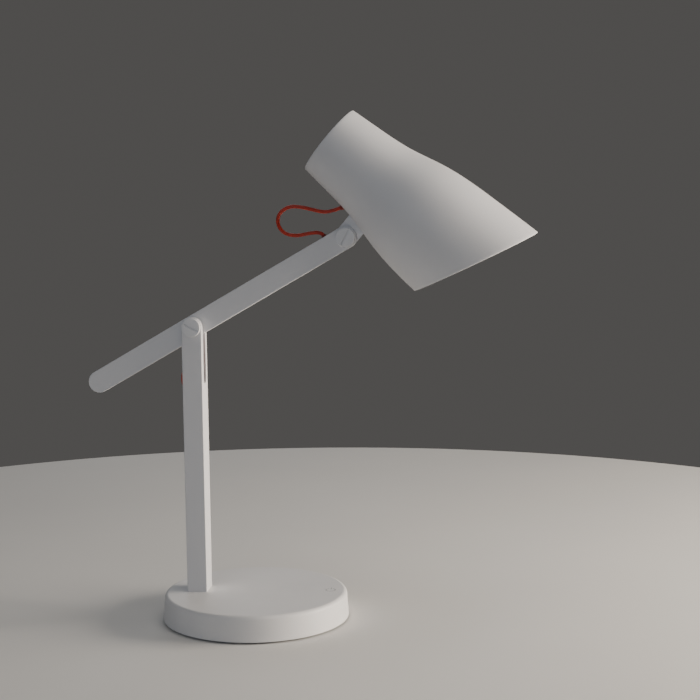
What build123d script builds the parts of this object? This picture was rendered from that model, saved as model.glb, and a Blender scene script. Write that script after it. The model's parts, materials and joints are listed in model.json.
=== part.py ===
"""Desk lamp with a weighted round base, a forked post, a pivoting flat arm and a tilting shade.

Millimetres. The origin is on the table under the centre of the base, +Z up. The arm and the
shade move in the plane Y = 0, and the hinge pins lie along Y. Front is -Y, and the arm reaches
towards +X. The lamp is modelled with the arm raised 30 degrees and the shade tipped 40 degrees.
"""

import os
from math import atan, cos, degrees, pi, radians, sin, sqrt, tan

from build123d import *

# Clearances
gap = 0.3  # between pieces that only lie beside each other
fit = 0.02  # radial, where a piece is pressed or seated in another
running = 0.05  # radial, where a pin turns in a hole
side_play = 0.025  # on each face of a friction washer
screw_room = 0.25  # radial, around a screw where it passes freely

# Base
foot_height = 2.0  # the cover's lower edge above the table
cover_radius = 90.0
cover_top_radius = 88.3
cover_height = 24.0
cover_wall = 2.5
cover_top = 3.0
cover_edge = 4.0
plate_thickness = 2.5
foot_inner = 70.0
foot_outer = 78.0
foot_seat = 1.0  # how deep the foot ring is set in the plate
ballast_radius = 78.0
ballast_thickness = 10.0
ballast_screw_ring = 50.0
boss_radius = 4.0

# Post, a thick-walled extrusion with a cable channel
post_x = -56.0
post_width = 19.5
post_depth = 23.0
channel_width = 11.5
fork_gap = 9.8
elbow_z = 284.0
fork_front_drop = 55.0  # from the elbow pin down to the slot's end, on the side of the shade
fork_back_drop = 76.0  # the same on the far side, where the cord goes in
cable_notch = 9.0  # height of the cut that lets the lead out of the post's foot
edge = 0.8

# Arm
arm_angle = 29.74
arm_width = 21.15
arm_thickness = 9.0
arm_reach = 170.4  # elbow pin to head pin
arm_tail = 108.1  # elbow pin to the centre of the rounded tail
wireway_width = 16.0
wireway_depth = 5.5
wireway_start = -18.0
wireway_end = 154.9
strip_thickness = 1.5
strip_lip = 1.0  # the strip's seat beyond the wireway's sides and end
strip_tail = 12.0  # the same at the tail, with room for a screw
strip_boss = 75.0  # the second screw's place along the arm
fork_throat = 11.5  # from the head pin back to the bottom of the arm's slot
elbow_exit = -12.0  # where the leads leave the arm, measured along it from the elbow pin
head_exit = 153.0

# Hinges
pin_radius = 3.0
head_pin_radius = 2.5
bush_wall = 1.0
washer_radius = 7.5
disc_radius = 9.0
disc_height = 3.0
disc_edge = 0.5
pin_seat = 1.2  # how far each pin reaches into its cap nut
coin_slot_length = 15.5
coin_slot_width = 1.8
coin_slot_depth = 1.2
elbow_slot_angle = -26.6
head_slot_angle = 63.0
tongue_thickness = 3.0
head_washer = 0.4

# Shade, a turned shell on a straight axis, cut off at a slant
shade_tilt = 40.37
shade_wall = 1.2
shade_step = 32.14
shade_radii = [35.2, 38.1, 42.3, 50.0, 54.7, 56.8, 58.5, 59.8]
mouth_station = 177.4  # where the slanted mouth crosses the axis
mouth_rise = 25.04

# Lamp head, with distances along the shade's axis from its top end
pivot_offset = 59.6  # head pin from the axis
pivot_station = 70.0
spider_station = 83.5
spider_thickness = 3.0
spider_bore = 25.0
vent_ring = 38.5
vent_radius = 3.5
foot_plate = 3.0
foot_start = 30.0  # the bracket's foot, from the axis
foot_end = 42.0
foot_width = 24.0
foot_screw_x = 37.0
foot_screw_y = 8.0
sink_radius = 24.0
sink_core = 12.0
sink_length = 18.0
flange_radius = 32.0
flange_thickness = 4.0
module_ring = 29.0
sink_bore = 3.0
fin_count = 12
fin_thickness = 1.6
board_radius = 20.0
board_thickness = 1.6
led_count = 9
led_ring = 12.0
led_size = 3.5
led_height = 0.8
reflector_length = 19.0
reflector_inner = 21.5
reflector_mouth = 34.0
reflector_wall = 1.4
reflector_flange = 2.0
diffuser_thickness = 2.0
ring_wall = 2.0
ring_length = 7.0
ring_lip = 1.0
cap_station = 1.5
cap_thickness = 2.0
cap_skirt = 5.0
cap_wall = 1.2
cap_vent_pitch = 8.0
cap_vent_width = 3.5

# Cords and leads
cord_diameter = 3.5
lead_diameter = 2.6
sleeve_wall = 0.8
sleeve_proud = 2.0

# Countersunk screws: shank radius, head radius, head height
m2 = (1.25, 2.2, 1.2)
m3 = (1.5, 2.75, 1.7)
m4 = (2.0, 3.9, 2.3)

# Touch switch and power inlet
symbol_x = 72.2
symbol_y = 6.7
symbol_radius = 5.0
symbol_line = 0.8
symbol_depth = 0.3
touch_radius = 6.0
board_x = 62.0
board_y = 2.0
board_length = 36.0
board_width = 28.0
board_drop = 4.9  # board below the ceiling
board_screws_at = [(47.5, 12.5), (76.5, -8.5)]
socket_z = 13.0
socket_face = 89.2
socket_radius = 4.0
socket_flange = 5.25
socket_flange_thickness = 1.2
socket_length = 13.2
socket_bore = 2.8
socket_bore_depth = 9.5
socket_pin = 1.0

# Levels and directions that follow from the sizes above
plate_top = foot_height + plate_thickness
ballast_top = plate_top + ballast_thickness
cover_z = foot_height + cover_height
ceiling = cover_z - cover_top
board_top = ceiling - board_drop
taper = (cover_radius - cover_top_radius) / cover_height
boss_ring = cover_radius - cover_wall - boss_radius
plate_radius = cover_radius - cover_wall - taper * plate_thickness - gap
screw_port = (fork_gap + post_depth) / 4  # middle of the post's thick walls
washer_thickness = (fork_gap - arm_thickness) / 2 - 2 * side_play
head_fork = tongue_thickness + 2 * head_washer + 4 * side_play
sink_front = spider_station + spider_thickness + flange_thickness
reflector_front = sink_front + reflector_length
sleeve_radius = cord_diameter / 2 + running + sleeve_wall
lead_pass = pin_radius + bush_wall + cord_diameter / 2 + gap  # the lead beside the elbow's bush
side = (0, -1, 0)
along = (cos(radians(arm_angle)), 0, sin(radians(arm_angle)))
across = (-along[2], 0, along[0])
axis_dir = (cos(radians(shade_tilt)), 0, -sin(radians(shade_tilt)))
under = (axis_dir[2], 0, -axis_dir[0])
mouth_dir = (sin(radians(mouth_rise)), 0, -cos(radians(mouth_rise)))
elbow = Plane(origin=(post_x, 0, elbow_z), x_dir=(1, 0, 0), z_dir=side)
arm_plane = Plane(origin=(post_x, 0, elbow_z), x_dir=along, z_dir=side)
arm_back = arm_plane.offset(-arm_thickness / 2)
head_pivot = arm_plane.from_local_coords((arm_reach, 0, 0))
shade_top = head_pivot - Vector(*axis_dir) * pivot_station - Vector(*under) * pivot_offset
shade_side = Plane(origin=shade_top, x_dir=under, z_dir=side)
shade_axis = Axis(shade_top, axis_dir)
socket_plane = Plane(origin=(-socket_face, 0, socket_z), x_dir=(0, 1, 0), z_dir=(1, 0, 0))

# Routes of the cords and leads, chosen by hand
elbow_mouth = arm_plane.from_local_coords((elbow_exit, -arm_width / 2, 0))
head_mouth = arm_plane.from_local_coords((head_exit, arm_width / 2, 0))
shade_mouth = head_pivot + Vector(-3.4, 0, 27.9)
shade_entry = (0.94, 0, 0.342)
post_mouth = elbow.origin - Vector(0, 0, 94)
elbow_bow = [(-3.5, -31), (-11.8, -44.5), (-11.8, -56.5), (-3.2, -71), (0, -82)]  # X and Z from the elbow pin
head_loop = [  # X and Z from the head pin
    (-34, 4.1),
    (-46.5, 1.3),
    (-58.5, 3.3),
    (-65, 11.7),
    (-64.2, 21.9),
    (-55, 29.1),
    (-43, 28.9),
    (-31.5, 26),
    (-20.5, 23.4),
]
elbow_route = [
    elbow_mouth,
    elbow_mouth - Vector(*across) * 6,
    *[elbow.origin + Vector(x, 0, z) for x, z in elbow_bow],
    post_mouth,
]
head_route = [
    head_mouth,
    head_mouth + Vector(*across) * 4.8,
    *[head_pivot + Vector(x, 0, z) for x, z in head_loop],
    shade_mouth - Vector(*shade_entry) * 8.6,
    shade_mouth,
]
post_route = [
    post_mouth,
    (post_x, 0, cover_z),
    (post_x + 5.5, 0, ballast_top + 3),
    (post_x + 20, -2, ballast_top + 2.4),
    (-5, -8, ballast_top + 2.2),
    (25, -8, ballast_top + 2.3),
    (board_x - board_length / 2 - 0.5, -4, ballast_top + 2.7),
]
inlet_route = [
    (socket_length - socket_face, 0, socket_z),
    (socket_length - socket_face + 4, 0, socket_z),
    (-71, 9, ballast_top + 1.4),
    (-63, 20, ballast_top + 1.9),
    (-35, 23, ballast_top + 1.7),
    (-5, 20, ballast_top + 1.6),
    (25, 14, ballast_top + 1.8),
    (board_x - board_length / 2 - 0.5, 8, ballast_top + 2.7),
]
arm_route = [
    (elbow_exit, -arm_width / 2),
    (elbow_exit, 3),
    (elbow_exit + 7, lead_pass),
    (6, lead_pass),
    (20, 1.5),
    (head_exit - 33, 1),
    (head_exit, 0),
    (head_exit, arm_width / 2),
]
shade_route = [(10, 57.5), (0.5, 60), (0, 70), (0, sink_front)]

os.makedirs("parts", exist_ok=True)


def station(distance):
    """A plane across the shade's axis, at a distance from its top end, facing the mouth."""
    return Plane(origin=shade_top + Vector(*axis_dir) * distance, x_dir=under, z_dir=axis_dir)


def save(piece, name):
    """Label a finished piece and write it."""
    piece.part.label = name
    export_step(piece.part, f"parts/{name}.step")


def shade_profile(inset):
    """The face that turns about the shade's axis to fill the shade, set in from its outside."""
    outline = [(radius - inset, i * shade_step) for i, radius in enumerate(shade_radii)]
    with BuildSketch(shade_side, mode=Mode.PRIVATE) as face:
        with BuildLine():
            Spline(*outline)
            Polyline(outline[-1], (0, outline[-1][1]), (0, 0), outline[0])
        make_face()
    return face.sketch


def power_mark(room):
    """A ring with a gap and a short bar, as a flat figure with room around it."""
    line = symbol_line + 2 * room
    with BuildSketch(Plane.XY.offset(cover_z - symbol_depth), mode=Mode.PRIVATE) as mark:
        with Locations((symbol_x, symbol_y)):
            Circle(symbol_radius + room)
            Circle(symbol_radius - symbol_line - room, mode=Mode.SUBTRACT)
        with Locations((symbol_x, symbol_y + symbol_radius)):
            Rectangle(4.5 * symbol_line - 2 * room, 4 * symbol_line, mode=Mode.SUBTRACT)
            Rectangle(line, symbol_radius + 2 * room)
    return mark.sketch


def screw_shapes(plane, spots, size, length, room=0.0):
    """Countersunk screws, one at each spot, driven from the plane along its normal."""
    shank, head, height = size
    with BuildPart(mode=Mode.PRIVATE) as shapes:
        with BuildSketch(plane):
            with spots:
                Circle(head + room)
        extrude(amount=height, taper=degrees(atan((head - shank) / height)))
        with BuildSketch(plane):
            with spots:
                Circle(shank + room)
        extrude(amount=length)
    return shapes.part


def make_screws(name, plane, spots, size, length):
    """The screws themselves, with hexagon sockets, in one node."""
    with BuildPart() as screws:
        add(screw_shapes(plane, spots, size, length))
        with BuildSketch(plane):
            with spots:
                RegularPolygon(size[0] * 0.8, 6)
        extrude(amount=size[2] * 0.7, mode=Mode.SUBTRACT)
    save(screws, name)


def make_pivot(plane, half_span, radius, slot_angle, screw_name, nut_name):
    """A hinge screw with its pin, and the matching cap nut, both with coin slots."""
    for name, face, reach in ((screw_name, plane, 2 * half_span + pin_seat), (nut_name, -plane, 0)):
        with BuildPart() as cap:
            with BuildSketch(face.offset(half_span)):
                Circle(disc_radius)
            extrude(amount=disc_height)
            rim = cap.faces().filter_by(Axis.Y).sort_by_distance(face.offset(half_span + disc_height).origin)[0]
            fillet(rim.edges(), disc_edge)
            with BuildSketch(face.offset(half_span + disc_height)):
                SlotOverall(coin_slot_length, coin_slot_width, rotation=slot_angle)
            extrude(amount=-coin_slot_depth, mode=Mode.SUBTRACT)
            if reach:
                with BuildSketch(face.offset(half_span)):
                    Circle(radius)
                extrude(amount=-reach)
            else:
                with BuildSketch(face.offset(half_span)):
                    Circle(radius + fit)
                extrude(amount=pin_seat + gap / 2, mode=Mode.SUBTRACT)
        save(cap, name)


def make_washers(name, plane, inner_face, thickness, radius, bore):
    """A pair of flat washers, one on each side of the hinged piece."""
    with BuildPart() as washers:
        for level in (inner_face, -inner_face - thickness):
            with BuildSketch(plane.offset(level)):
                Circle(radius)
                Circle(bore, mode=Mode.SUBTRACT)
            extrude(amount=thickness)
    save(washers, name)


def make_sleeve(name, mouth, outward, wall):
    """A grommet around a cord where it goes through a wall."""
    plane = Plane(origin=mouth, x_dir=side, z_dir=outward)
    with BuildPart() as sleeve:
        with BuildSketch(plane.offset(-wall)):
            Circle(sleeve_radius)
            Circle(cord_diameter / 2 + running, mode=Mode.SUBTRACT)
        extrude(amount=wall + sleeve_proud)
        lip = sleeve.edges().filter_by(GeomType.CIRCLE).sort_by_distance(plane.offset(sleeve_proud).origin)
        chamfer([circle for circle in lip[:2] if circle.radius > cord_diameter / 2 + 2 * running], 0.4)
    save(sleeve, name)


def make_tube(name, route, diameter):
    """A cord's plain tube: straight runs joined by arcs as large as the runs allow."""
    points = [Vector(*point) for point in route]
    runs = [after - before for before, after in zip(points, points[1:])]
    radii = []
    for before, after in zip(runs, runs[1:]):
        half_turn = radians(before.get_angle(after)) / 2
        radii.append(0.45 * min(before.length, after.length) / tan(half_turn))
    with BuildPart() as cord:
        with BuildLine() as path:
            FilletPolyline(*points, radius=radii)
        with BuildSketch(Plane(origin=points[0], z_dir=runs[0])):
            Circle(diameter / 2)
        sweep()
    length = path.wires()[0].length
    ratio = cord.part.volume / (pi * diameter**2 / 4 * length)
    print(f"{name}: length {length:.1f}, volume ratio {ratio:.4f}, radii", [round(r, 1) for r in radii])
    save(cord, name)


# Base cover: a tapered dish, open below
boss_spots = PolarLocations(boss_ring, 4, start_angle=45)
ballast_spots = PolarLocations(ballast_screw_ring, 3, start_angle=60)
board_spots = Locations(*board_screws_at)
board_bottom = Plane.XY.offset(board_top - board_thickness)
with BuildPart() as base_cover:
    with BuildSketch(Plane.XY.offset(foot_height)):
        Circle(cover_radius)
    extrude(amount=cover_height, taper=degrees(atan(taper)))
    fillet(base_cover.faces().sort_by(Axis.Z)[-1].edges(), cover_edge)
    with BuildSketch(Plane.XY.offset(foot_height)):
        Circle(cover_radius - cover_wall)
    extrude(amount=cover_height - cover_top, taper=degrees(atan(taper)), mode=Mode.SUBTRACT)
    with BuildSketch(Plane.XY.offset(plate_top)):
        with boss_spots:
            Circle(boss_radius)
    extrude(amount=ceiling - plate_top)
    with BuildSketch(Plane.XY.offset(board_top)):
        with board_spots:
            Circle(m2[1] + gap)
    extrude(amount=board_drop)
    with BuildSketch(Plane.XY.offset(plate_top)):
        with boss_spots:
            Circle(m3[0] + fit)
    extrude(amount=12, mode=Mode.SUBTRACT)
    with BuildSketch(Plane.XY.offset(board_top)):
        with board_spots:
            Circle(m2[0] + fit)
    extrude(amount=board_drop, mode=Mode.SUBTRACT)
    with BuildSketch(Plane.XY.offset(ceiling)):
        with Locations((post_x, 0)):
            Rectangle(post_width + 2 * fit, post_depth + 2 * fit)
    extrude(amount=cover_top, mode=Mode.SUBTRACT)
    with BuildSketch(socket_plane.offset(-2)):
        Circle(socket_flange + 2 * running)
    extrude(amount=2 + socket_flange_thickness, mode=Mode.SUBTRACT)
    with BuildSketch(socket_plane):
        Circle(socket_radius + running)
    extrude(amount=2 * cover_wall, mode=Mode.SUBTRACT)
    extrude(power_mark(running), amount=symbol_depth, mode=Mode.SUBTRACT)
save(base_cover, "base_cover")

with BuildPart() as touch_symbol:
    extrude(power_mark(0), amount=symbol_depth)
save(touch_symbol, "touch_symbol")

# Base plate, foot ring and ballast
with BuildPart() as base_plate:
    with BuildSketch(Plane.XY.offset(foot_height)):
        Circle(plate_radius)
    extrude(amount=plate_thickness)
    with BuildSketch(Plane.XY.offset(foot_height)):
        Circle(foot_outer + fit)
        Circle(foot_inner - fit, mode=Mode.SUBTRACT)
    extrude(amount=foot_seat, mode=Mode.SUBTRACT)
    underside = Plane.XY.offset(foot_height)
    add(screw_shapes(underside, boss_spots, m3, plate_thickness, screw_room), mode=Mode.SUBTRACT)
    add(screw_shapes(underside, ballast_spots, m3, plate_thickness, screw_room), mode=Mode.SUBTRACT)
save(base_plate, "base_plate")

with BuildPart() as foot_ring:
    with BuildSketch():
        Circle(foot_outer)
        Circle(foot_inner, mode=Mode.SUBTRACT)
    extrude(amount=foot_height + foot_seat)
    chamfer(foot_ring.faces().sort_by(Axis.Z)[0].edges(), 0.5)
save(foot_ring, "foot_ring")

with BuildPart() as ballast_weight:
    with BuildSketch(Plane.XY.offset(plate_top)):
        Circle(ballast_radius)
        with Locations((-socket_face + socket_length + 2, 0)):
            Rectangle(12, 24, mode=Mode.SUBTRACT)
        with ballast_spots:
            Circle(m3[0] + fit, mode=Mode.SUBTRACT)
    extrude(amount=ballast_thickness)
    chamfer(ballast_weight.faces().sort_by(Axis.Z)[-1].outer_wire().edges(), 0.8)
    port_spots = Locations((post_x, -screw_port), (post_x, screw_port))
    seat = Plane.XY.offset(plate_top)
    add(screw_shapes(seat, port_spots, m4, ballast_thickness, screw_room), mode=Mode.SUBTRACT)
save(ballast_weight, "ballast_weight")

make_screws("base_plate_screws", Plane.XY.offset(foot_height), boss_spots, m3, 12)
make_screws("ballast_screws", Plane.XY.offset(foot_height), ballast_spots, m3, 9)
make_screws("post_screws", Plane.XY.offset(plate_top), port_spots, m4, ballast_thickness + 12)

# Touch dimmer and power inlet
with BuildPart() as control_board:
    with BuildSketch(board_bottom):
        with Locations((board_x, board_y)):
            Rectangle(board_length, board_width)
    extrude(amount=board_thickness)
    with BuildSketch(Plane.XY.offset(board_top)):
        with Locations((board_x - 6, board_y + 3)):
            Rectangle(7, 7)
    extrude(amount=1.2)
    with BuildSketch(Plane.XY.offset(board_top)):
        with Locations((board_x - 11, board_y - 8)):
            Circle(3)
        with Locations((board_x, board_y - 8)):
            Circle(2.5)
    extrude(amount=3.5)
    add(screw_shapes(board_bottom, board_spots, m2, board_thickness, running), mode=Mode.SUBTRACT)
save(control_board, "control_board")
make_screws("board_screws", board_bottom, board_spots, m2, 5)

with BuildPart() as touch_electrode:
    with BuildSketch(Plane.XY.offset(board_top)):
        with Locations((symbol_x, symbol_y)):
            Circle(touch_radius / 3)
    extrude(amount=board_drop)
    with BuildSketch(Plane.XY.offset(ceiling - 0.6)):
        with Locations((symbol_x, symbol_y)):
            Circle(touch_radius)
    extrude(amount=0.6)
save(touch_electrode, "touch_electrode")

with BuildPart() as dc_socket:
    with BuildSketch(socket_plane):
        Circle(socket_flange)
    extrude(amount=socket_flange_thickness)
    with BuildSketch(socket_plane):
        Circle(socket_radius)
    extrude(amount=socket_length)
    with BuildSketch(socket_plane):
        Circle(socket_bore)
    extrude(amount=socket_bore_depth, mode=Mode.SUBTRACT)
    with BuildSketch(socket_plane.offset(1)):
        Circle(socket_pin)
    extrude(amount=socket_bore_depth)
save(dc_socket, "dc_socket")

with BuildPart() as socket_nut:
    with BuildSketch(socket_plane.offset(cover_wall + 0.5)):
        RegularPolygon(1.5 * socket_radius, 6)
        Circle(socket_radius + fit, mode=Mode.SUBTRACT)
    extrude(amount=2.2)
save(socket_nut, "socket_nut")

# Post: channel all the way up, then a slot through it that leaves two ears
with BuildPart() as post:
    with BuildSketch(elbow.offset(-post_depth / 2)):
        Circle(post_width / 2)
        with Locations((0, (ballast_top - elbow_z) / 2)):
            Rectangle(post_width, elbow_z - ballast_top)
    extrude(amount=post_depth)
    rounded = post.faces().filter_by(Axis.Y).edges().filter_by_position(Axis.Z, ballast_top + 1, elbow_z + 20)
    fillet(rounded, edge)
    with BuildSketch(Plane.XY.offset(ballast_top)):
        with Locations((post_x, 0)):
            Rectangle(channel_width, fork_gap)
    extrude(amount=elbow_z - fork_front_drop - ballast_top, mode=Mode.SUBTRACT)
    for start, reach, drop in ((0, post_width, fork_front_drop), (-post_width, post_width, fork_back_drop)):
        slot_bottom = elbow_z - drop
        with BuildSketch(Plane(origin=(post_x + start, 0, slot_bottom), x_dir=(0, 1, 0), z_dir=(1, 0, 0))):
            with Locations((0, fork_gap / 2)):
                Circle(fork_gap / 2)
            with Locations((0, fork_gap / 2 + drop / 2 + post_width / 2)):
                Rectangle(fork_gap, drop + post_width)
        extrude(amount=reach, mode=Mode.SUBTRACT)
    with BuildSketch(elbow.offset(-post_depth / 2)):
        Circle(pin_radius + running)
    extrude(amount=post_depth, mode=Mode.SUBTRACT)
    with BuildSketch(Plane.XY.offset(ballast_top)):
        with port_spots:
            Circle(m4[0] + fit)
        with Locations((post_x + post_width / 2, 0)):
            Rectangle(post_width, fork_gap)
    extrude(amount=cable_notch, mode=Mode.SUBTRACT)
    with BuildSketch(Plane.XY.offset(ballast_top)):
        with port_spots:
            Circle(m4[0] + fit)
    extrude(amount=14, mode=Mode.SUBTRACT)
save(post, "post")

# Arm: a rounded bar with a wireway milled into its back, and a slot for the shade's tongue
strip_centre = (wireway_end + strip_lip + wireway_start - strip_tail) / 2
strip_length = wireway_end + strip_lip - wireway_start + strip_tail
strip_spots = Locations((wireway_start - strip_tail / 2, 0), (strip_boss, -0.35 * wireway_width))
with BuildPart() as arm:
    with BuildSketch(arm_back):
        with Locations(((arm_reach - arm_tail) / 2, 0)):
            SlotCenterToCenter(arm_reach + arm_tail, arm_width)
    extrude(amount=arm_thickness)
    fillet(arm.faces().filter_by(Axis.Y).edges(), edge)
    with BuildSketch(arm_back):
        with Locations((strip_centre, 0)):
            RectangleRounded(strip_length, wireway_width + 2 * strip_lip, 2)
    extrude(amount=strip_thickness, mode=Mode.SUBTRACT)
    with BuildSketch(arm_back.offset(strip_thickness)):
        with Locations(((wireway_start + wireway_end) / 2, 0)):
            RectangleRounded(wireway_end - wireway_start, wireway_width, 1)
        with Locations((strip_boss, -0.35 * wireway_width)):
            Circle(m2[1] + gap, mode=Mode.SUBTRACT)
    extrude(amount=wireway_depth, mode=Mode.SUBTRACT)
    with BuildSketch(arm_back.offset(strip_thickness)):
        with strip_spots:
            Circle(m2[0] + fit)
    extrude(amount=4, mode=Mode.SUBTRACT)
    with BuildSketch(arm_plane.offset(-head_fork / 2)):
        with Locations((arm_reach - fork_throat + arm_width, 0)):
            Rectangle(2 * arm_width, 2 * arm_width)
    extrude(amount=head_fork, mode=Mode.SUBTRACT)
    with BuildSketch(arm_back):
        Circle(pin_radius + running + bush_wall + fit)
        with Locations((arm_reach, 0)):
            Circle(head_pin_radius + running)
    extrude(amount=arm_thickness, mode=Mode.SUBTRACT)
    with BuildSketch(Plane(origin=elbow_mouth, x_dir=side, z_dir=across)):
        Circle(sleeve_radius + fit)
    extrude(amount=(arm_width - wireway_width) / 2 + 1, mode=Mode.SUBTRACT)
    with BuildSketch(Plane(origin=head_mouth, x_dir=side, z_dir=across)):
        Circle(sleeve_radius + fit)
    extrude(amount=(wireway_width - arm_width) / 2 - 1, mode=Mode.SUBTRACT)
save(arm, "arm")

with BuildPart() as arm_cover:
    with BuildSketch(arm_back):
        with Locations((strip_centre, 0)):
            RectangleRounded(strip_length - 2 * running, wireway_width + 2 * strip_lip - 2 * running, 2)
        Circle(pin_radius + running + bush_wall + fit, mode=Mode.SUBTRACT)
    extrude(amount=strip_thickness)
    add(screw_shapes(arm_back, strip_spots, m2, strip_thickness, running), mode=Mode.SUBTRACT)
save(arm_cover, "arm_cover")
make_screws("arm_cover_screws", arm_back, strip_spots, m2, strip_thickness + 3.5)

with BuildPart() as elbow_bush:
    with BuildSketch(arm_back):
        Circle(pin_radius + running + bush_wall)
        Circle(pin_radius + running, mode=Mode.SUBTRACT)
    extrude(amount=arm_thickness)
save(elbow_bush, "elbow_bush")

make_washers(
    "elbow_washers", elbow, arm_thickness / 2 + side_play, washer_thickness, washer_radius, pin_radius + gap
)
make_pivot(elbow, post_depth / 2, pin_radius, elbow_slot_angle, "elbow_screw", "elbow_cap_nut")
head_plane = Plane(origin=head_pivot, x_dir=(1, 0, 0), z_dir=side)
make_pivot(head_plane, arm_thickness / 2, head_pin_radius, head_slot_angle, "head_screw", "head_cap_nut")
make_washers(
    "head_washers", head_plane, tongue_thickness / 2 + side_play, head_washer, washer_radius, head_pin_radius + gap
)

# Bracket: a tongue with a rounded eye, and a foot that is screwed to the spider
with BuildPart() as head_bracket:
    with BuildSketch(shade_side.offset(-tongue_thickness / 2)):
        with Locations((pivot_offset, pivot_station)):
            Circle(arm_width / 2)
        with Locations(((pivot_offset + foot_start) / 2, pivot_station)):
            Rectangle(pivot_offset - foot_start, arm_width)
        with Locations((pivot_offset, pivot_station)):
            Circle(head_pin_radius + running, mode=Mode.SUBTRACT)
    extrude(amount=tongue_thickness)
    with BuildSketch(station(spider_station - foot_plate)):
        with Locations(((foot_start + foot_end) / 2, 0)):
            Rectangle(foot_end - foot_start, foot_width)
        with Locations((foot_screw_x, foot_screw_y), (foot_screw_x, -foot_screw_y)):
            Circle(m4[0] + fit, mode=Mode.SUBTRACT)
    extrude(amount=foot_plate)
save(head_bracket, "head_bracket")

# Shade
shade_hole = Plane(origin=shade_mouth, x_dir=side, z_dir=shade_entry)
with BuildPart() as shade:
    revolve(shade_profile(0), axis=shade_axis)
    revolve(shade_profile(shade_wall), axis=shade_axis, mode=Mode.SUBTRACT)
    split(bisect_by=Plane(origin=station(mouth_station).origin, z_dir=mouth_dir), keep=Keep.BOTTOM)
    with BuildSketch(shade_side.offset(-tongue_thickness / 2 - gap / 2)):
        with Locations(((foot_start + pivot_offset) / 2, pivot_station)):
            Rectangle(pivot_offset - foot_start, arm_width + gap)
    extrude(amount=tongue_thickness + gap, mode=Mode.SUBTRACT)
    with BuildSketch(shade_hole.offset(-4)):
        Circle(sleeve_radius + fit)
    extrude(amount=8, mode=Mode.SUBTRACT)
save(shade, "shade")

with BuildPart() as rear_cap:
    cap_radius = shade_radii[0] - shade_wall - fit
    with BuildSketch(station(cap_station)):
        Circle(cap_radius)
        for row in range(-3, 4):
            vent = 2 * sqrt((cap_radius - 5) ** 2 - (row * cap_vent_pitch) ** 2)
            with Locations((row * cap_vent_pitch, 0)):
                SlotOverall(vent, cap_vent_width, rotation=90, mode=Mode.SUBTRACT)
    extrude(amount=cap_thickness)
    with BuildSketch(station(cap_station + cap_thickness)):
        Circle(cap_radius)
        Circle(cap_radius - cap_wall, mode=Mode.SUBTRACT)
    extrude(amount=cap_skirt)
save(rear_cap, "rear_cap")

# Spider: the ring that ties the shade, the bracket and the lamp module together
foot_spots = Locations((foot_screw_x, foot_screw_y), (foot_screw_x, -foot_screw_y))
module_spots = PolarLocations(module_ring, 4, start_angle=45)
with BuildPart() as shade_spider:
    with BuildSketch(station(spider_station)):
        Circle(2 * sink_radius + spider_bore)
        Circle(spider_bore, mode=Mode.SUBTRACT)
        with module_spots:
            Circle(m3[0] + fit, mode=Mode.SUBTRACT)
        with PolarLocations(vent_ring, 7, start_angle=60, angular_range=240):
            Circle(vent_radius, mode=Mode.SUBTRACT)
    extrude(amount=spider_thickness)
    revolve(shade_profile(shade_wall + fit), axis=shade_axis, mode=Mode.INTERSECT)
    front = -station(spider_station + spider_thickness)
    add(screw_shapes(front, foot_spots, m4, spider_thickness, running), mode=Mode.SUBTRACT)
save(shade_spider, "shade_spider")
make_screws("bracket_screws", front, foot_spots, m4, spider_thickness + foot_plate)

# Lamp module
with BuildPart() as heat_sink:
    with BuildSketch(station(sink_front - flange_thickness - sink_length)):
        Circle(sink_core)
        with PolarLocations((sink_core + sink_radius) / 2 - 1, fin_count):
            Rectangle(sink_radius - sink_core + 2, fin_thickness)
    extrude(amount=sink_length)
    with BuildSketch(station(sink_front - flange_thickness)):
        Circle(flange_radius)
        with module_spots:
            Circle(m3[0] + screw_room, mode=Mode.SUBTRACT)
    extrude(amount=flange_thickness)
    with BuildSketch(station(sink_front - flange_thickness - sink_length)):
        Circle(sink_bore)
    extrude(amount=sink_length + flange_thickness, mode=Mode.SUBTRACT)
save(heat_sink, "heat_sink")

with BuildPart() as led_board:
    with BuildSketch(station(sink_front)):
        Circle(board_radius)
    extrude(amount=board_thickness)
save(led_board, "led_board")

with BuildPart() as leds:
    with BuildSketch(station(sink_front + board_thickness)):
        Rectangle(led_size, led_size)
        with PolarLocations(led_ring, led_count - 1):
            Rectangle(led_size, led_size)
    extrude(amount=led_height)
save(leds, "leds")

with BuildPart() as reflector:
    with BuildSketch(shade_side):
        with BuildLine():
            inner_slope = (reflector_mouth - reflector_inner) / reflector_length
            outer_foot = reflector_inner + inner_slope * reflector_flange + reflector_wall
            Polyline(
                (reflector_inner, sink_front),
                (flange_radius, sink_front),
                (flange_radius, sink_front + reflector_flange),
                (outer_foot, sink_front + reflector_flange),
                (reflector_mouth + reflector_wall, reflector_front),
                (reflector_mouth, reflector_front),
                close=True,
            )
        make_face()
    revolve(axis=shade_axis)
    module_face = -station(sink_front + reflector_flange)
    add(screw_shapes(module_face, module_spots, m3, reflector_flange, running), mode=Mode.SUBTRACT)
save(reflector, "reflector")
module_screw_length = reflector_flange + flange_thickness + spider_thickness
make_screws("module_screws", module_face, module_spots, m3, module_screw_length)

with BuildPart() as diffuser:
    with BuildSketch(station(reflector_front)):
        Circle(reflector_mouth + reflector_wall)
    extrude(amount=diffuser_thickness)
save(diffuser, "diffuser")

with BuildPart() as diffuser_ring:
    ring_bore = reflector_mouth + reflector_wall + running
    ring_front = reflector_front + diffuser_thickness + ring_lip
    with BuildSketch(station(ring_front - ring_length)):
        Circle(ring_bore + ring_wall)
        Circle(ring_bore, mode=Mode.SUBTRACT)
    extrude(amount=ring_length)
    with BuildSketch(station(ring_front)):
        Circle(ring_bore + ring_wall)
        Circle(reflector_mouth, mode=Mode.SUBTRACT)
    extrude(amount=-ring_lip)
save(diffuser_ring, "diffuser_ring")

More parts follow.
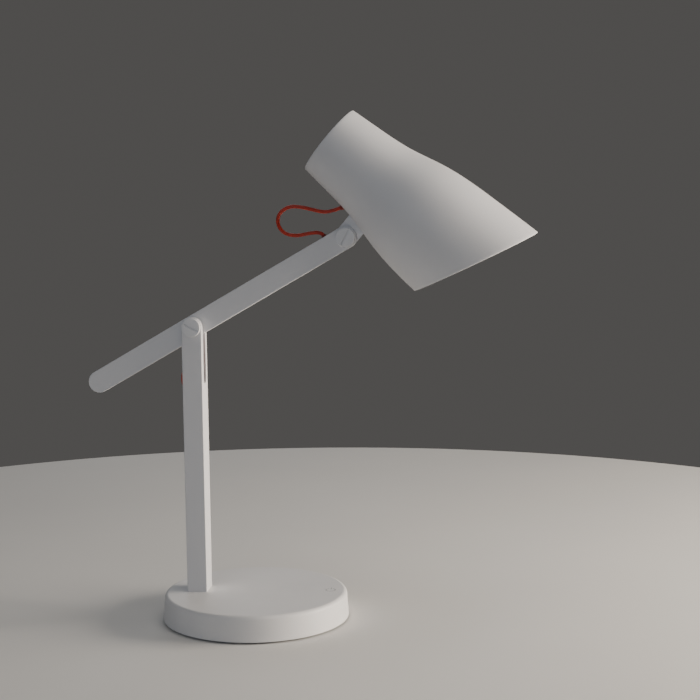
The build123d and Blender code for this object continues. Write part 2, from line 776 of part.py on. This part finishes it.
# Grommets, cords and leads
sleeve_depth = (arm_width - wireway_width) / 2
make_sleeve("elbow_grommet", elbow_mouth, -Vector(*across), sleeve_depth)
make_sleeve("arm_grommet", head_mouth, across, sleeve_depth)
make_sleeve("shade_grommet", shade_mouth, -Vector(*shade_entry), 2 * shade_wall)
make_tube("elbow_cord", elbow_route, cord_diameter)
make_tube("head_cord", head_route, cord_diameter)
make_tube("post_lead", post_route, cord_diameter)
make_tube("inlet_lead", inlet_route, lead_diameter)
make_tube("arm_lead", [arm_plane.from_local_coords((*point, 0)) for point in arm_route], cord_diameter)
inside_shade = [shade_side.from_local_coords((*point, 0)) for point in shade_route]
make_tube("shade_lead", [shade_mouth, shade_mouth + Vector(*shade_entry) * 17, *inside_shade], cord_diameter)
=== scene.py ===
"""The look of a desk lamp with a round base, a forked post, a flat arm and a tilting shade.

Metres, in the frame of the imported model: +Z up, the front is -Y, and the arm and the shade
move in the plane Y = 0.
"""

import json
from math import cos, pi, radians, sin, tan

import bmesh
import bpy
import numpy
from mathutils import Matrix, Vector
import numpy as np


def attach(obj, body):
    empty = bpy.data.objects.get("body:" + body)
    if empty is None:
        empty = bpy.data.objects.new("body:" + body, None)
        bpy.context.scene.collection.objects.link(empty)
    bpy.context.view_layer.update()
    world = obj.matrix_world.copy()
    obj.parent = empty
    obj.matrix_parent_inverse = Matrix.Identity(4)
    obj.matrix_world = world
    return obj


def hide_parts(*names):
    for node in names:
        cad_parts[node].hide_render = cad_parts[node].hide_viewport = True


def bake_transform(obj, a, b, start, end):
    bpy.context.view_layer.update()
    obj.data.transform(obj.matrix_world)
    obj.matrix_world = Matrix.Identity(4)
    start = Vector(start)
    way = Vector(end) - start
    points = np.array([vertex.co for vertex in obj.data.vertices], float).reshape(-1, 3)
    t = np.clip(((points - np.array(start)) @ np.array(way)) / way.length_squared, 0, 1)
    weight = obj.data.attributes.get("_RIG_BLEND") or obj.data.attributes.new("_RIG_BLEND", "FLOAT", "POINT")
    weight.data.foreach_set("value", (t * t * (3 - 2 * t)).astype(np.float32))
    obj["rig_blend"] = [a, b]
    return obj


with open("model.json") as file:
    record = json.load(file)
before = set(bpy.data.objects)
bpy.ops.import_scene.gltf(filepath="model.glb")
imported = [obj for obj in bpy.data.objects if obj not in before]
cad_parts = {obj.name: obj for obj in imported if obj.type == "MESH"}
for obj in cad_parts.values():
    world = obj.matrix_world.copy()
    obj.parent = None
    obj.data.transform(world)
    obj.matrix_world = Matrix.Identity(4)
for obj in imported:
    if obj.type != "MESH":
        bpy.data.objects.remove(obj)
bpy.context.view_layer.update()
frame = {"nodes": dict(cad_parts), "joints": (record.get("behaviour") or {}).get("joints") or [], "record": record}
nodes = frame["nodes"]
pins = {joint["name"]: Vector(joint["pos_m"]) for joint in frame["joints"]}
elbow = pins["elbow"]
head = pins["head_tilt"]
MM = 0.001

# The arm's and the shade's directions and sizes, as in the part
ARM_ANGLE = radians(29.74)
ARM_HALF_WIDTH = 10.575 * MM
ELBOW_EXIT = -12 * MM
HEAD_EXIT = 153 * MM
SHADE_TILT = radians(40.37)
ALONG = Vector((cos(ARM_ANGLE), 0, sin(ARM_ANGLE)))
ACROSS = Vector((-sin(ARM_ANGLE), 0, cos(ARM_ANGLE)))
SHADE_AXIS = Vector((cos(SHADE_TILT), 0, -sin(SHADE_TILT)))
SHADE_UNDER = Vector((-sin(SHADE_TILT), 0, -cos(SHADE_TILT)))
SHADE_TOP = head - SHADE_AXIS * 70 * MM - SHADE_UNDER * 59.6 * MM
FRONT = Vector((0, -1, 0))


# ---------------------------------------------------------------- camera


def place_camera():
    """A portrait lens a little above the lamp, in front of it and slightly to its right."""
    target = Vector((0.09465, 0, 0.2617))
    distance = 1.3811
    azimuth = radians(7.03)
    elevation = radians(6.51)
    roll = radians(-0.63)
    offset = Vector((sin(azimuth) * cos(elevation), -cos(azimuth) * cos(elevation), sin(elevation)))
    back = offset.normalized()
    level = Vector((0, 0, 1)).cross(back).normalized()
    up = back.cross(level)
    right = level * cos(roll) + up * sin(roll)
    up = up * cos(roll) - level * sin(roll)
    data = bpy.data.cameras.new("camera")
    data.lens = 74.9
    data.sensor_width = 36
    data.clip_start = 0.05
    data.clip_end = 30
    camera = bpy.data.objects.new("camera", data)
    bpy.context.scene.collection.objects.link(camera)
    camera.matrix_world = Matrix.Translation(target + offset * distance) @ Matrix(
        (right, up, back)
    ).transposed().to_4x4()
    bpy.context.scene.camera = camera


place_camera()


# ---------------------------------------------------------------- mesh helpers


def piece(name, shape, body, material, smooth_angle=35):
    """A finished bmesh as an object that rides on a body, or on none when body is None."""
    mesh = bpy.data.meshes.new(name)
    bmesh.ops.recalc_face_normals(shape, faces=shape.faces)
    for face in shape.faces:
        face.smooth = True
    for edge in shape.edges:
        if len(edge.link_faces) == 2 and edge.calc_face_angle(0) > radians(smooth_angle):
            edge.smooth = False
    shape.to_mesh(mesh)
    shape.free()
    obj = bpy.data.objects.new(name, mesh)
    bpy.context.scene.collection.objects.link(obj)
    mesh.materials.append(material)
    if body:
        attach(obj, body)
    return obj


def basis(axis, first):
    """Two unit vectors across an axis, the first nearest to the one given."""
    axis = axis.normalized()
    u = (first - axis * first.dot(axis)).normalized()
    return u, axis.cross(u)


def rounded(outline, radius):
    """A closed outline of (x, y) with each corner rounded by that radius."""
    steps = 8
    out = []
    count = len(outline)
    for i in range(count):
        before = Vector(outline[i - 1])
        here = Vector(outline[i])
        after = Vector(outline[(i + 1) % count])
        a = before - here
        b = after - here
        reach = min(radius, 0.45 * a.length, 0.45 * b.length)
        p = here + a.normalized() * reach
        q = here + b.normalized() * reach
        for k in range(steps + 1):
            t = k / steps
            out.append(p * (1 - t) ** 2 + here * 2 * t * (1 - t) + q * t**2)
    return out


def band(shape, here, after):
    """Faces between two closed loops of vertices."""
    for i in range(len(here)):
        j = (i + 1) % len(here)
        shape.faces.new((here[i], here[j], after[j], after[i]))


def turned(shape, origin, axis, outline, turns):
    """An outline of (distance along the axis, radius) as vertices, once for each turn."""
    first = FRONT if abs(FRONT.dot(axis)) < 0.9 else Vector((1, 0, 0))
    u, v = basis(axis, first)
    rings = []
    for k in range(turns):
        angle = 2 * pi * k / turns
        out = u * cos(angle) + v * sin(angle)
        rings.append([shape.verts.new(origin + axis * x + out * y) for x, y in outline])
    return rings


def lathe(shape, origin, axis, outline, turns):
    """Turn a closed outline about an axis."""
    rings = turned(shape, origin, axis.normalized(), outline, turns)
    for k in range(turns):
        band(shape, rings[k], rings[(k + 1) % turns])


def capped_lathe(shape, origin, axis, outline, turns):
    """Turn an open outline whose ends lie on the axis, so that it closes on itself."""
    axis = axis.normalized()
    start = shape.verts.new(origin + axis * outline[0][0])
    end = shape.verts.new(origin + axis * outline[-1][0])
    rings = turned(shape, origin, axis, outline[1:-1], turns)
    for k in range(turns):
        here = rings[k]
        after = rings[(k + 1) % turns]
        shape.faces.new((start, here[0], after[0]))
        shape.faces.new((here[-1], end, after[-1]))
        for i in range(len(here) - 1):
            shape.faces.new((here[i], here[i + 1], after[i + 1], after[i]))


def prism(middle, length_way, width_way, height_way, length, width, height, corner):
    """A block with rounded corners, as a bmesh to cut with."""
    shape = bmesh.new()
    half = length / 2
    side = width / 2
    outline = rounded([(-half, -side), (half, -side), (half, side), (-half, side)], corner)
    low = []
    high = []
    for x, y in outline:
        place = middle + length_way * x + width_way * y
        low.append(shape.verts.new(place - height_way * height / 2))
        high.append(shape.verts.new(place + height_way * height / 2))
    shape.faces.new(list(reversed(low)))
    shape.faces.new(high)
    band(shape, low, high)
    bmesh.ops.recalc_face_normals(shape, faces=shape.faces)
    return shape


def as_object(shape, name):
    """A bmesh as a bare object, for a modifier to use."""
    bmesh.ops.recalc_face_normals(shape, faces=shape.faces)
    mesh = bpy.data.meshes.new(name)
    shape.to_mesh(mesh)
    shape.free()
    obj = bpy.data.objects.new(name, mesh)
    bpy.context.scene.collection.objects.link(obj)
    return obj


def cut(shape, *cutters):
    """A bmesh with others cut away from it."""
    obj = as_object(shape, "being_cut")
    tools = [as_object(cutter, "cutter") for cutter in cutters]
    for tool in tools:
        modifier = obj.modifiers.new("cut", "BOOLEAN")
        modifier.operation = "DIFFERENCE"
        modifier.solver = "EXACT"
        modifier.object = tool
    bpy.context.view_layer.update()
    held = obj.evaluated_get(bpy.context.evaluated_depsgraph_get())
    mesh = bpy.data.meshes.new_from_object(held)
    out = bmesh.new()
    out.from_mesh(mesh)
    bpy.data.meshes.remove(mesh)
    for used in (obj, *tools):
        data = used.data
        bpy.data.objects.remove(used)
        bpy.data.meshes.remove(data)
    return out


def soften(shape, width):
    """Round every edge where two faces meet at over 40 degrees."""
    limit = radians(40)
    sharp = [e for e in shape.edges if len(e.link_faces) == 2 and e.calc_face_angle(0) > limit]
    bmesh.ops.bevel(shape, geom=sharp, offset=width, segments=2, profile=0.5, affect="EDGES")
    return shape


# ---------------------------------------------------------------- materials


class Paint:
    """A material's node tree, with the few nodes that every finish here uses."""

    def __init__(self, name, rough, metallic=0.0, coat=0.0, sheen=0.0, ior=1.5):
        self.material = bpy.data.materials.new(name)
        self.material.use_nodes = True
        self.tree = self.material.node_tree
        self.shader = self.tree.nodes["Principled BSDF"]
        self.shader.inputs["Metallic"].default_value = metallic
        self.shader.inputs["Roughness"].default_value = rough
        self.shader.inputs["IOR"].default_value = ior
        self.shader.inputs["Coat Weight"].default_value = coat
        self.shader.inputs["Coat Roughness"].default_value = 0.3
        self.shader.inputs["Sheen Weight"].default_value = sheen
        self.place = self.tree.nodes.new("ShaderNodeTexCoord").outputs["Object"]

    def node(self, kind, **values):
        """A new node, with its properties and inputs set by name."""
        node = self.tree.nodes.new(kind)
        for key, value in values.items():
            if key in node.inputs:
                node.inputs[key].default_value = value
            else:
                setattr(node, key, value)
        return node

    def link(self, source, target):
        self.tree.links.new(source, target)

    def noise(self, scale, detail=3.0, roughness=0.5):
        """A noise value over the object's own coordinates."""
        noise = self.node("ShaderNodeTexNoise", Scale=scale, Detail=detail, Roughness=roughness)
        self.link(self.place, noise.inputs["Vector"])
        return noise.outputs["Fac"]

    def spread(self, value, low, high):
        """A value from noise, most of which lies between 0.3 and 0.7, carried to a range."""
        remap = self.node("ShaderNodeMapRange")
        remap.inputs["From Min"].default_value = 0.3
        remap.inputs["From Max"].default_value = 0.7
        remap.inputs["To Min"].default_value = low
        remap.inputs["To Max"].default_value = high
        self.link(value, remap.inputs["Value"])
        return remap.outputs["Result"]

    def tint(self, value, dark, light):
        """The base colour, between two colours."""
        mix = self.node("ShaderNodeMix", data_type="RGBA")
        mix.inputs["A"].default_value = (*dark, 1)
        mix.inputs["B"].default_value = (*light, 1)
        self.link(self.spread(value, 0, 1), mix.inputs["Factor"])
        self.link(mix.outputs["Result"], self.shader.inputs["Base Color"])

    def roughen(self, value, low, high):
        self.link(self.spread(value, low, high), self.shader.inputs["Roughness"])

    def bump(self, *layers):
        """Bumps laid over each other, each of (value, height in metres, strength)."""
        normal = None
        for value, height, strength in layers:
            bump = self.node("ShaderNodeBump", Strength=strength, Distance=height)
            self.link(value, bump.inputs["Height"])
            if normal:
                self.link(normal, bump.inputs["Normal"])
            normal = bump.outputs["Normal"]
        self.link(normal, self.shader.inputs["Normal"])


def powder_coat(name, dark, light, rough):
    """Matte powder coat: a fine orange peel, specks, and a slow drift of colour and gloss."""
    paint = Paint(name, rough)
    drift = paint.noise(9, 2)
    peel = paint.noise(650, 2, 0.6)
    grain = paint.noise(2600, 1)
    paint.tint(drift, dark, light)
    paint.roughen(paint.noise(60, 3), rough - 0.05, rough + 0.06)
    paint.bump((peel, 0.00012, 0.35), (grain, 0.00004, 0.35))
    return paint.material


def moulded(name, dark, light, rough, scale=1400, strength=0.3, coat=0.0):
    """Moulded plastic with a fine spark-eroded texture."""
    paint = Paint(name, rough, coat=coat)
    paint.tint(paint.noise(14, 2), dark, light)
    paint.roughen(paint.noise(90, 3), rough - 0.05, rough + 0.05)
    paint.bump((paint.noise(scale, 2, 0.6), 0.00006, strength))
    return paint.material


def metal(name, dark, light, rough, scale=500):
    """Bare or plated metal with fine marks."""
    paint = Paint(name, rough, metallic=1.0)
    marks = paint.noise(scale, 4, 0.65)
    paint.tint(marks, dark, light)
    paint.roughen(paint.noise(120, 3), rough - 0.07, rough + 0.09)
    paint.bump((marks, 0.00003, 0.4))
    return paint.material


def sheath(name, dark, light, rough):
    """The soft sheath of a cord: satin, slightly uneven, with a faint bloom."""
    paint = Paint(name, rough, sheen=0.03)
    paint.tint(paint.noise(160, 3), dark, light)
    paint.roughen(paint.noise(420, 3), rough - 0.06, rough + 0.08)
    paint.bump((paint.noise(900, 2, 0.6), 0.00003, 0.2), (paint.noise(3200, 1), 0.00001, 0.2))
    return paint.material


def opal_disc(name):
    """An opal diffuser, switched off, which lets some light through."""
    paint = Paint(name, 0.42, ior=1.49)
    paint.shader.inputs["Subsurface Weight"].default_value = 0.25
    paint.shader.inputs["Subsurface Radius"].default_value = (0.004, 0.0038, 0.0034)
    paint.shader.inputs["Subsurface Scale"].default_value = 1.0
    paint.tint(paint.noise(30, 2), (0.86, 0.855, 0.82), (0.9, 0.895, 0.87))
    paint.bump((paint.noise(1800, 2), 0.00004, 0.3))
    return paint.material


def circuit_board(name, dark, light):
    """Solder mask over copper tracks, whose edges stand slightly proud."""
    paint = Paint(name, 0.35, coat=0.3)
    tracks = paint.node("ShaderNodeTexBrick", Scale=260.0)
    tracks.inputs["Mortar Size"].default_value = 0.09
    tracks.inputs["Color1"].default_value = (*dark, 1)
    tracks.inputs["Color2"].default_value = (*dark, 1)
    tracks.inputs["Mortar"].default_value = (*light, 1)
    paint.link(paint.place, tracks.inputs["Vector"])
    paint.link(tracks.outputs["Color"], paint.shader.inputs["Base Color"])
    paint.bump((tracks.outputs["Fac"], 0.00003, 0.4), (paint.noise(900), 0.00002, 0.3))
    return paint.material


MATERIALS = {
    "white_shell": moulded("shell_white", (0.72, 0.715, 0.72), (0.75, 0.745, 0.75), 0.5),
    "white_paint": powder_coat("coat_white", (0.685, 0.69, 0.715), (0.72, 0.722, 0.745), 0.5),
    "white_cap": powder_coat("coat_cap", (0.74, 0.745, 0.77), (0.765, 0.768, 0.79), 0.42),
    "steel": metal("zinc_plate", (0.5, 0.5, 0.5), (0.66, 0.66, 0.65), 0.34),
    "iron": metal("machined_iron", (0.16, 0.16, 0.165), (0.26, 0.26, 0.265), 0.55),
    "foot_rubber": moulded("foot_rubber", (0.035, 0.035, 0.036), (0.05, 0.05, 0.052), 0.8, 900, 0.5),
    "red_cord": sheath("cord_red", (0.4, 0.014, 0.003), (0.52, 0.026, 0.005), 0.42),
    "black_lead": sheath("lead_black", (0.018, 0.018, 0.019), (0.03, 0.03, 0.031), 0.5),
    # grommet: a real sleeve, but coloured much darker red than the cord; this dark tone also paints the shade
    # where the cord turns into its hole
    "grommet": moulded("grommet_red_painted_shade", (0.16, 0.014, 0.008), (0.22, 0.02, 0.01), 0.6, 1200, 0.4),
    "nylon": moulded("nylon", (0.78, 0.77, 0.72), (0.83, 0.82, 0.78), 0.45),
    "brass": metal("brass", (0.6, 0.43, 0.18), (0.76, 0.57, 0.27), 0.28),
    "aluminium": metal("die_cast", (0.6, 0.6, 0.61), (0.72, 0.72, 0.73), 0.42, scale=320),
    "board": circuit_board("solder_mask", (0.02, 0.13, 0.05), (0.03, 0.2, 0.08)),
    "led": moulded("phosphor", (0.85, 0.68, 0.2), (0.92, 0.78, 0.3), 0.4, 2400, 0.3, coat=0.5),
    "reflector": moulded("reflector_white", (0.86, 0.86, 0.85), (0.9, 0.9, 0.89), 0.22, 700, 0.15),
    "opal": opal_disc("opal"),
    "module_plastic": moulded("module_white", (0.78, 0.78, 0.785), (0.82, 0.82, 0.825), 0.5),
    "socket_plastic": moulded("socket_black", (0.02, 0.02, 0.021), (0.032, 0.032, 0.033), 0.42),
    "mark": moulded("mark_grey", (0.3, 0.3, 0.315), (0.36, 0.36, 0.37), 0.45),
}


def finish_nodes():
    """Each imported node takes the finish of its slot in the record."""
    for part in frame["record"]["subparts"]:
        for place in nodes[part["node"]].material_slots:
            place.material = MATERIALS[part["material_slot"]]


finish_nodes()


# ---------------------------------------------------------------- cords


CORD_DIAMETER = 3.5 * MM
CORD_SIDES = 24


def cord_line(route):
    """The points of a smooth NURBS line whose control points are the route's."""
    data = bpy.data.curves.new("route", "CURVE")
    data.dimensions = "3D"
    spline = data.splines.new("NURBS")
    spline.points.add(len(route) - 1)
    for point, place in zip(spline.points, route):
        point.co = (*place, 1)
    spline.order_u = 3
    spline.use_endpoint_u = True
    spline.resolution_u = 10
    holder = bpy.data.objects.new("route", data)
    mesh = bpy.data.meshes.new_from_object(holder)
    line = [vertex.co.copy() for vertex in mesh.vertices]
    bpy.data.objects.remove(holder)
    bpy.data.curves.remove(data)
    bpy.data.meshes.remove(mesh)
    return line


def cord_tube(shape, line, radius):
    """A round tube along points that lie in the plane Y = 0."""
    rings = []
    for i, place in enumerate(line):
        run = (line[min(i + 1, len(line) - 1)] - line[max(i - 1, 0)]).normalized()
        out = run.cross(FRONT)
        ring = []
        for k in range(CORD_SIDES):
            angle = 2 * pi * k / CORD_SIDES
            ring.append(shape.verts.new(place + (FRONT * cos(angle) + out * sin(angle)) * radius))
        rings.append(ring)
    for here, after in zip(rings, rings[1:]):
        band(shape, here, after)
    shape.faces.new(rings[0])
    shape.faces.new(list(reversed(rings[-1])))


def from_pin(pin, x, z):
    """A place in the plane Y = 0, from a pin, in millimetres."""
    return pin + Vector((x, 0, z)) * MM


elbow_mouth = elbow + ALONG * ELBOW_EXIT - ACROSS * ARM_HALF_WIDTH
head_mouth = elbow + ALONG * HEAD_EXIT + ACROSS * ARM_HALF_WIDTH
shade_mouth = from_pin(head, -3.4, 27.9)
shade_entry = Vector((0.94, 0, 0.342))
elbow_route = [
    elbow_mouth,
    elbow_mouth - ACROSS * 6 * MM,
    from_pin(elbow, -3.5, -31),
    from_pin(elbow, -11.8, -44.5),
    from_pin(elbow, -11.8, -56.5),
    from_pin(elbow, -3.2, -71),
    from_pin(elbow, 0, -82),
    from_pin(elbow, 0, -94),
]
head_route = [
    head_mouth,
    head_mouth + ACROSS * 4.8 * MM,
    from_pin(head, -34, 4.1),
    from_pin(head, -46.5, 1.3),
    from_pin(head, -58.5, 3.3),
    from_pin(head, -65, 11.7),
    from_pin(head, -64.2, 21.9),
    from_pin(head, -55, 29.1),
    from_pin(head, -43, 28.9),
    from_pin(head, -31.5, 26),
    from_pin(head, -20.5, 23.4),
    shade_mouth - shade_entry * 8.6 * MM,
    shade_mouth,
]


def share_turn(obj, line, pin, still):
    """Every ring of a cord turns as one, by a share of the joint's angle that grows along it.

    The share grows faster near the pin. The two parts of the length in still, one at each
    end, ride with their ends, and next to them the growth fades in and out over fade.
    """
    fade = 0.08
    steps = [(after - here).length for here, after in zip(line, line[1:])]
    total = sum(steps)
    share = [0.0]
    gone = 0.0
    for i, step in enumerate(steps):
        place = (gone + step / 2) / total
        gone += step
        ease = min(place - still[0], 1 - still[1] - place) / fade
        ease = min(max(ease, 0.0), 1.0)
        reach = ((line[i] + line[i + 1]) / 2 - pin).length
        share.append(share[-1] + step * ease * ease * (3 - 2 * ease) / reach)
    weights = obj.data.attributes["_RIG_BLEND"].data
    falls = weights[0].value > weights[-1].value
    values = []
    for part in share:
        grown = part / share[-1]
        values += [1 - grown if falls else grown] * CORD_SIDES
    weights.foreach_set("value", values)


def make_cord(name, node, route, bodies, start, end, pin, still):
    """A red lead between two bodies, which bends as their joint turns."""
    line = cord_line(route)
    shape = bmesh.new()
    cord_tube(shape, line, CORD_DIAMETER / 2)
    obj = piece(name, shape, None, MATERIALS["red_cord"], 60)
    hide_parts(node)
    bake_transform(obj, *bodies, start=start, end=end)
    share_turn(obj, line, pin, still)


make_cord(
    "head_lead",
    "head_cord",
    head_route,
    ("arm", "head"),
    head_mouth,
    shade_mouth,
    head,
    (0.02, 0.02),
)
make_cord(
    "elbow_lead",
    "elbow_cord",
    elbow_route,
    ("base", "arm"),
    from_pin(elbow, -6, -71),
    from_pin(elbow, -4, -18),
    elbow,
    (0.02, 0.3),
)


# ---------------------------------------------------------------- shade

GROMMET = 2.62 * MM
SHADE_STEP = 32.14 * MM
SHADE_RADII = [radius * MM for radius in (35.2, 38.1, 42.3, 50, 54.7, 56.8, 58.5, 59.8)]
SHADE_WALL = 1.2 * MM
MOUTH_STATION = 177.4 * MM
MOUTH_RISE = radians(25.04)
MOUTH_LEAN = 1 / tan(SHADE_TILT + MOUTH_RISE)


def spline_bends(values):
    """The second differences of a natural cubic spline through evenly spaced values."""
    count = len(values)
    system = numpy.eye(count)
    right = numpy.zeros(count)
    for i in range(1, count - 1):
        system[i, i - 1 : i + 2] = (1, 4, 1)
        right[i] = 6 * (values[i + 1] - 2 * values[i] + values[i - 1])
    return numpy.linalg.solve(system, right)


SHADE_BENDS = spline_bends(SHADE_RADII)


def shade_radius(station):
    """The shade's outside radius at a distance from its top end."""
    place = min(max(station / SHADE_STEP, 0), len(SHADE_RADII) - 1.000001)
    i = int(place)
    t = place - i
    s = 1 - t
    chord = SHADE_RADII[i] * s + SHADE_RADII[i + 1] * t
    return chord + (SHADE_BENDS[i] * (s**3 - s) + SHADE_BENDS[i + 1] * (t**3 - t)) / 6


def mouth_at(angle, inset):
    """Where the slanted mouth cuts the wall, at an angle from the underside."""
    station = MOUTH_STATION
    for _ in range(12):
        station = MOUTH_STATION - MOUTH_LEAN * cos(angle) * (shade_radius(station) - inset)
    return station


def make_shade():
    """The turned shell, open at both ends, with rounded lips, a slot and a cord hole."""
    turns = 180
    rows = 64
    lip_steps = 6
    lip = SHADE_WALL / 2
    shape = bmesh.new()
    rings = []
    for k in range(turns):
        angle = 2 * pi * k / turns
        out = SHADE_UNDER * cos(angle) + FRONT * sin(angle)
        start = lip
        end = mouth_at(angle, lip) - lip
        section = []
        for i in range(rows + 1):
            station = start + (end - start) * i / rows
            section.append((station, shade_radius(station)))
        for i in range(1, lip_steps):
            turn = pi * i / lip_steps
            section.append((end + lip * sin(turn), shade_radius(end) - lip + lip * cos(turn)))
        for i in range(rows + 1):
            station = end + (start - end) * i / rows
            section.append((station, shade_radius(station) - SHADE_WALL))
        for i in range(1, lip_steps):
            turn = pi * i / lip_steps
            section.append((start - lip * sin(turn), shade_radius(start) - lip - lip * cos(turn)))
        rings.append([shape.verts.new(SHADE_TOP + SHADE_AXIS * x + out * y) for x, y in section])
    for k in range(turns):
        band(shape, rings[k], rings[(k + 1) % turns])
    slot_middle = SHADE_TOP + SHADE_AXIS * 70 * MM + SHADE_UNDER * 45 * MM
    slot_size = (21.45 * MM, 3.3 * MM, 22 * MM)
    slot = prism(slot_middle, SHADE_AXIS, FRONT, SHADE_UNDER, *slot_size, 0.6 * MM)
    hole = bmesh.new()
    entry = shade_entry.normalized()
    reach = 5 * MM
    bore = [(-reach, 0), (-reach, GROMMET), (reach, GROMMET), (reach, 0)]
    capped_lathe(hole, shade_mouth, entry, bore, 48)
    shape = cut(shape, slot, hole)
    obj = piece("shade_shell", shape, "head", MATERIALS["white_paint"])
    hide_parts("shade")


# ---------------------------------------------------------------- hinges and grommets

DISC = 9 * MM
DISC_HEIGHT = 3 * MM


def disc_outline(face):
    """The cap's outline past a face: a rounded edge and a very slightly domed top."""
    top = face + DISC_HEIGHT
    points = [(face, DISC)]
    for i in range(7):
        turn = pi / 2 * i / 6
        points.append((top - (0.62 - 0.5 * sin(turn)) * MM, DISC - (0.5 - 0.5 * cos(turn)) * MM))
    for share in (0.75, 0.5, 0.25):
        points.append((top - 0.12 * MM * share**2, DISC * share))
    points.append((top, 0))
    return points


def make_hinge(pin, half, radius, slot_angle, screw, nut, body):
    """A hinge screw and its cap nut, each with a coin slot cut in its cap."""
    screw_past = 1.2 * MM
    nut_past = 1.35 * MM
    thread_gap = 0.02 * MM
    for name, way, z_way in ((screw, FRONT, 1), (nut, -FRONT, -1)):
        shape = bmesh.new()
        if name == screw:
            stem = [(-half - screw_past, 0), (-half - screw_past, radius), (half, radius)]
        else:
            bore = radius + thread_gap
            stem = [(half + nut_past, 0), (half + nut_past, bore), (half, bore)]
        capped_lathe(shape, pin, way, stem + disc_outline(half), 96)
        length_way = Vector((cos(slot_angle), 0, z_way * sin(slot_angle)))
        middle = pin + way * (half + DISC_HEIGHT + 0.3 * MM)
        slot_size = (15.5 * MM, 1.8 * MM, 3 * MM)
        slot = prism(middle, length_way, length_way.cross(way), way, *slot_size, 0.9 * MM)
        shape = soften(cut(shape, slot), 0.12 * MM)
        obj = piece(name + "_cap", shape, body, MATERIALS["white_cap"], 25)
        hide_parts(name)


def make_grommet(name, node, mouth, outward, depth, body):
    """A soft sleeve in the wall, which tapers onto the cord outside it."""
    bore = CORD_DIAMETER / 2 + 0.03 * MM
    proud = 2 * MM
    outline = [
        (-depth, bore),
        (-depth, GROMMET - 0.02 * MM),
        (-0.1 * MM, GROMMET - 0.02 * MM),
        (0.15 * MM, GROMMET - 0.1 * MM),
        (0.5 * MM, 2.45 * MM),
        (1.1 * MM, 2.25 * MM),
        (1.7 * MM, 2.08 * MM),
        (proud - 0.05 * MM, 1.96 * MM),
        (proud, bore + 0.08 * MM),
        (proud - 0.05 * MM, bore),
    ]
    shape = bmesh.new()
    lathe(shape, mouth, outward, outline, 64)
    obj = piece(name, shape, body, MATERIALS["grommet"], 50)
    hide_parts(node)


make_shade()
make_hinge(elbow, 11.5 * MM, 3 * MM, radians(-26.6), "elbow_screw", "elbow_cap_nut", "base")
make_hinge(head, 4.5 * MM, 2.5 * MM, radians(63), "head_screw", "head_cap_nut", "arm")
arm_depth = 2.575 * MM
shade_depth = 2.4 * MM
shade_way = -shade_entry.normalized()
make_grommet("elbow_sleeve", "elbow_grommet", elbow_mouth, -ACROSS, arm_depth, "arm")
make_grommet("arm_sleeve", "arm_grommet", head_mouth, ACROSS, arm_depth, "arm")
make_grommet("shade_sleeve", "shade_grommet", shade_mouth, shade_way, shade_depth, "head")


# ---------------------------------------------------------------- studio


def studio():
    """A pale round floor with a soft edge, in a plain grey room."""
    radius = 0.92
    depth = 0.03
    soft = 0.006
    outline = [(0, 0), (0, radius - soft)]
    for k in range(1, 9):
        turn = pi / 2 * k / 8
        outline.append((-soft + soft * cos(turn), radius - soft + soft * sin(turn)))
    outline += [(-depth, radius), (-depth, 0)]
    shape = bmesh.new()
    capped_lathe(shape, Vector((0.04, 0, 0)), Vector((0, 0, 1)), outline, 192)
    floor = as_object(shape, "studio_floor")
    for face in floor.data.polygons:
        face.use_smooth = True
    paint = Paint("floor_paint", 0.7)
    paint.tint(paint.noise(3, 2), (0.74, 0.73, 0.71), (0.77, 0.76, 0.74))
    paint.bump((paint.noise(300, 3), 0.0001, 0.2))
    floor.data.materials.append(paint.material)
    world = bpy.data.worlds.new("world")
    world.use_nodes = True
    room = world.node_tree.nodes["Background"].inputs
    room["Color"].default_value = (0.085, 0.082, 0.079, 1)
    room["Strength"].default_value = 1
    bpy.context.scene.world = world


def soft_light(name, place, target, size, watts, colour):
    """A large square area light that faces a target."""
    data = bpy.data.lights.new(name, "AREA")
    data.shape = "RECTANGLE"
    data.size, data.size_y = size
    data.energy = watts
    data.color = colour
    light = bpy.data.objects.new(name, data)
    bpy.context.scene.collection.objects.link(light)
    light.visible_camera = False
    light.location = place
    light.rotation_euler = (Vector(target) - Vector(place)).to_track_quat("-Z", "Y").to_euler()


studio()
soft_light("key", (1.5, 0.12, 0.3), (0, 0, 0.2), (0.8, 0.8), 46, (1, 0.89, 0.76))
soft_light("fill", (-0.7, -2.4, 1.1), (0.05, 0, 0.25), (1.6, 1.4), 9, (0.76, 0.86, 1))
soft_light("top", (0.6, -0.1, 1.9), (0.1, 0, 0.2), (1.2, 1.2), 8, (1, 0.95, 0.88))
soft_light("back", (-0.5, 2.3, 1.2), (0.05, 0, 0.25), (1.6, 1.4), 7, (0.9, 0.94, 1))
